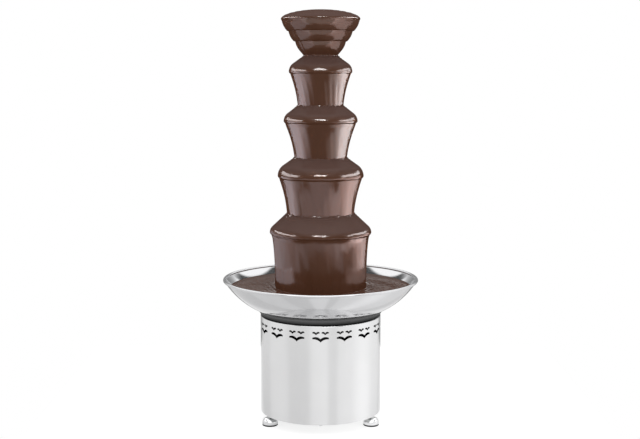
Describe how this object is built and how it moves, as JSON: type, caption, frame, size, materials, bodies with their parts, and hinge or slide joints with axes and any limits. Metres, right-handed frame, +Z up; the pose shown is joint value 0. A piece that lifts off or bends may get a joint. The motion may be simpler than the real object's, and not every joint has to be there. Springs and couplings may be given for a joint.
{
  "type": "chocolate fountain",
  "caption": "Tiered stainless chocolate fountain: heated bowl on a vented drum base, screw-fed tower with domed tiers and stepped crown, levelling feet, chocolate flowing.",
  "frame": {"origin": "centre of the tower axis at table level, under the feet", "axes": "+Z up along the tower axis, -Y towards the front, +Y towards the controls, +X to the right seen from the front"},
  "size_m": [0.3752, 0.3752, 0.7876],
  "materials": {
    "drum_steel": "satin",
    "polished_steel": "polished",
    "foot_chrome": "polished",
    "zinc_hardware": "satin",
    "dark_steel": "satin",
    "alloy": "cast",
    "black_rubber": "matte",
    "black_plastic": "semi-gloss",
    "white_plastic": "matte",
    "amber_lens": "clear gloss",
    "chocolate": "wet gloss"
  },
  "bodies": {
    "base": {"base_housing": "drum_steel", "bottom_plate": "zinc_hardware", "bottom_screws": "zinc_hardware", "foot_nuts": "zinc_hardware", "bowl_gasket": "black_rubber", "bowl": "polished_steel", "locating_pins": "polished_steel", "heater_plate": "alloy", "heating_element": "dark_steel", "thermal_cutout": "black_plastic", "seal_housing": "polished_steel", "hub_nut": "zinc_hardware", "shaft_bush": "white_plastic", "shaft_seal": "black_rubber", "tie_rods": "zinc_hardware", "tie_rod_nuts": "zinc_hardware", "motor_deck": "zinc_hardware", "gearbox": "alloy", "gearbox_screws": "zinc_hardware", "motor": "dark_steel", "terminal_block": "white_plastic", "thermostat_body": "white_plastic", "thermostat_nut": "zinc_hardware", "motor_switch_body": "black_plastic", "heater_switch_body": "black_plastic", "pilot_lamp_body": "black_plastic", "pilot_lamp_lens": "amber_lens", "cable_gland": "black_plastic", "gland_locknut": "black_plastic", "chocolate_pool": "chocolate"},
    "tower": {"tower_tube": "polished_steel", "tier_1": "polished_steel", "tier_2": "polished_steel", "tier_3": "polished_steel", "tier_4": "polished_steel", "crown": "polished_steel", "chocolate_crown": "chocolate", "chocolate_curtain_1": "chocolate", "chocolate_curtain_2": "chocolate", "chocolate_curtain_3": "chocolate", "chocolate_curtain_4": "chocolate"},
    "screw": {"auger": "white_plastic", "drive_shaft": "polished_steel"},
    "knob": {"thermostat_knob": "black_plastic", "thermostat_spindle": "zinc_hardware"},
    "motor_rocker": {"motor_rocker": "black_plastic"},
    "heater_rocker": {"heater_rocker": "black_plastic"},
    "left_foot": {"left_foot_cup": "foot_chrome", "left_foot_pad": "black_rubber"},
    "left_stud": {"left_foot_stud": "zinc_hardware"},
    "right_foot": {"right_foot_cup": "foot_chrome", "right_foot_pad": "black_rubber"},
    "right_stud": {"right_foot_stud": "zinc_hardware"},
    "rear_foot": {"rear_foot_cup": "foot_chrome", "rear_foot_pad": "black_rubber"},
    "rear_stud": {"rear_foot_stud": "zinc_hardware"}
  },
  "joints": [
    {"name": "auger_spin", "type": "hinge", "parent": "base", "child": "screw", "pos_m": [0, 0, 0.22], "axis": [0, 0, 1], "continuous": true},
    {"name": "tower_lift", "type": "slide", "parent": "base", "child": "tower", "axis": [0, 0, 1], "range_m": [0, 0.52]},
    {"name": "thermostat_turn", "type": "hinge", "parent": "base", "child": "knob", "pos_m": [0, 0.12, 0.119], "axis": [0, 1, 0], "range_deg": [-135, 135]},
    {"name": "motor_switch", "type": "hinge", "parent": "base", "child": "motor_rocker", "pos_m": [0.05103, 0.10462, 0.119], "axis": [0.8988, -0.4384, 0], "range_deg": [0, 16]},
    {"name": "heater_switch", "type": "hinge", "parent": "base", "child": "heater_rocker", "pos_m": [-0.05103, 0.10462, 0.119], "axis": [0.8988, 0.4384, 0], "range_deg": [0, 16]},
    {"name": "left_foot_height", "type": "slide", "parent": "base", "child": "left_foot", "axis": [0, 0, -1], "range_m": [0, 0.01]},
    {"name": "left_stud_turn", "type": "hinge", "parent": "left_foot", "child": "left_stud", "pos_m": [-0.0967, -0.04927, 0.02], "axis": [0, 0, -1], "range_deg": [0, 3600]},
    {"name": "right_foot_height", "type": "slide", "parent": "base", "child": "right_foot", "axis": [0, 0, -1], "range_m": [0, 0.01]},
    {"name": "right_stud_turn", "type": "hinge", "parent": "right_foot", "child": "right_stud", "pos_m": [0.0967, -0.04927, 0.02], "axis": [0, 0, -1], "range_deg": [0, 3600]},
    {"name": "rear_foot_height", "type": "slide", "parent": "base", "child": "rear_foot", "axis": [0, 0, -1], "range_m": [0, 0.01]},
    {"name": "rear_stud_turn", "type": "hinge", "parent": "rear_foot", "child": "rear_stud", "pos_m": [0, 0.10852, 0.02], "axis": [0, 0, -1], "range_deg": [0, 3600]}
  ],
  "couplings": [
    {"joint": "left_stud_turn", "follows": "left_foot_height", "rad_per_m": 6283.2},
    {"joint": "right_stud_turn", "follows": "right_foot_height", "rad_per_m": 6283.2},
    {"joint": "rear_stud_turn", "follows": "rear_foot_height", "rad_per_m": 6283.2}
  ]
}
